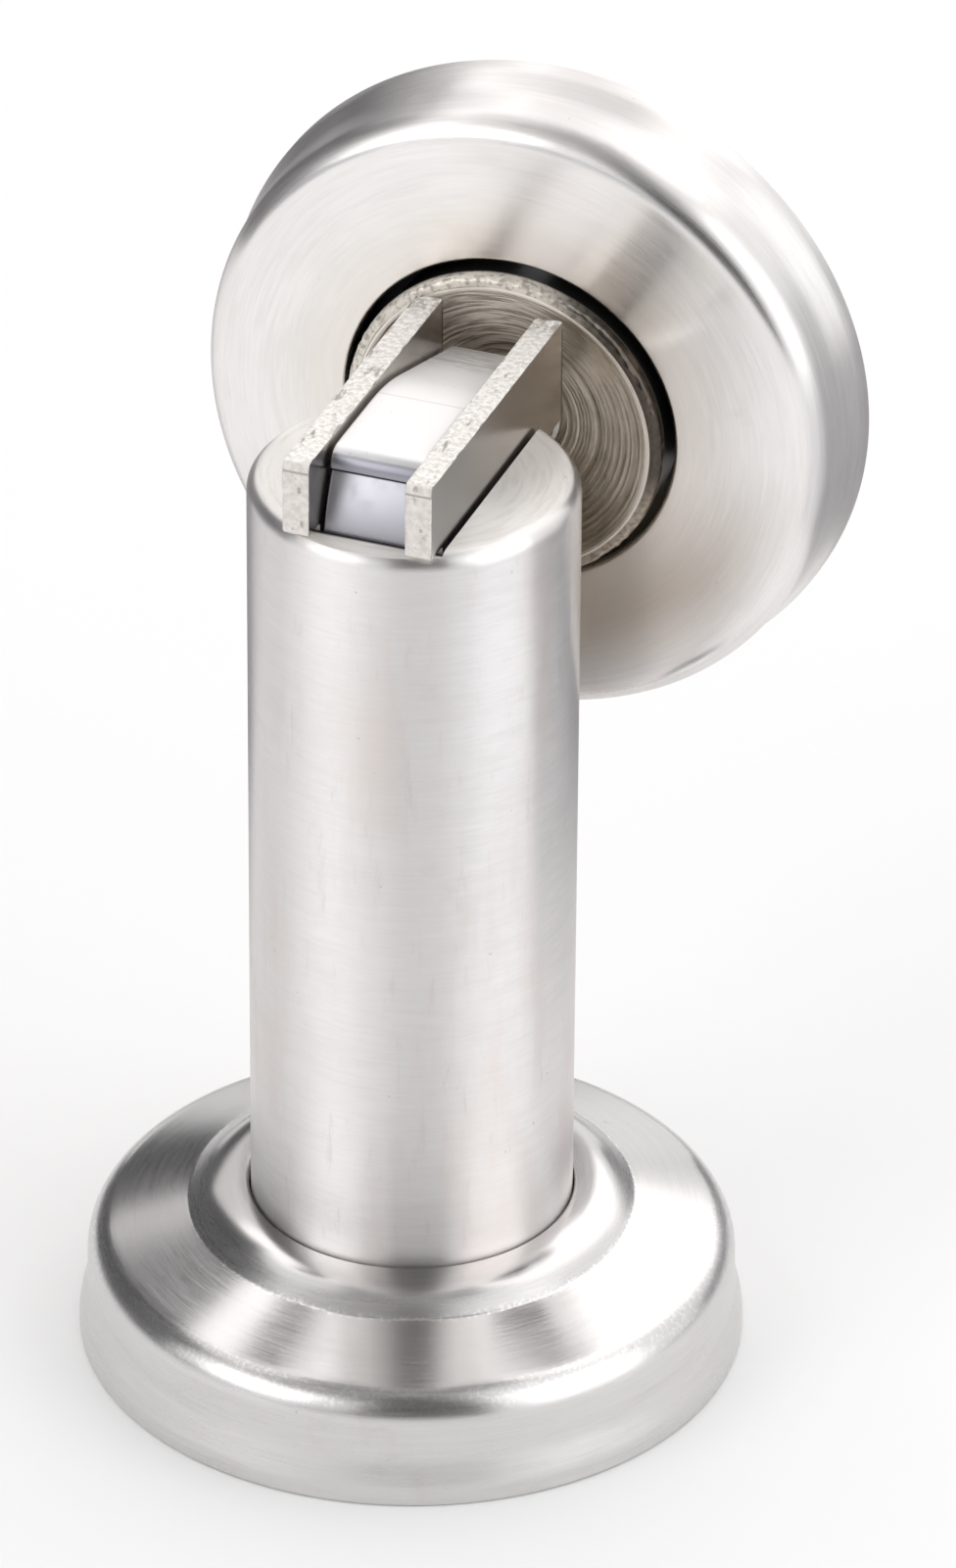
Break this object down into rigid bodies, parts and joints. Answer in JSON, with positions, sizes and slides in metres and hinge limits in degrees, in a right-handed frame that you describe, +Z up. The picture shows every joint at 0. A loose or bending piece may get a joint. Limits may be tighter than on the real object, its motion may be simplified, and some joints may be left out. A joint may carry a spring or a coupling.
{
  "type": "magnetic door stop",
  "caption": "Floor door stop: a satin steel post on a round base, with a magnet fork in its head that holds a round catch with a sprung, turned dish fixed to the door.",
  "frame": {"origin": "centre of the base on the floor", "axes": "+Z up along the post, +Y from the post to the catch on the door, X across the fork"},
  "size_m": [0.0509, 0.0505, 0.0937],
  "materials": {
    "satin_steel": "satin, brushed round",
    "pole_steel": "sheared and nickel plated",
    "magnet_nickel": "bright nickel",
    "turned_steel": "turned, nickel plated",
    "zinc_plated": "zinc plated",
    "cast_zinc": "as cast",
    "black_nylon": "moulded"
  },
  "bodies": {
    "stand": {"base_plate": "zinc_plated", "tie_bolt": "zinc_plated", "foot_plug": "zinc_plated", "post_shell": "satin_steel", "magnet_holder": "black_nylon", "pole_plate_right": "pole_steel", "pole_plate_left": "pole_steel", "fork_pins": "zinc_plated", "magnet": "magnet_nickel"},
    "cover": {"base_cover": "satin_steel"},
    "catch": {"catch_cover": "satin_steel", "catch_base": "cast_zinc", "dish_screw": "zinc_plated", "dish_spring": "zinc_plated"},
    "dish": {"catch_dish": "turned_steel"}
  },
  "joints": [
    {"name": "cover_lift", "type": "slide", "parent": "stand", "child": "cover", "axis": [0, 0, 1], "range_m": [0, 0.03]},
    {"name": "catch_pull", "type": "slide", "parent": "stand", "child": "catch", "axis": [0, 1, 0], "range_m": [0, 0.06]},
    {"name": "dish_push", "type": "slide", "parent": "catch", "child": "dish", "axis": [0, 1, 0], "range_m": [0, 0.0016], "stiffness_N_per_m": 3000, "deforming": ["dish_spring"]}
  ]
}
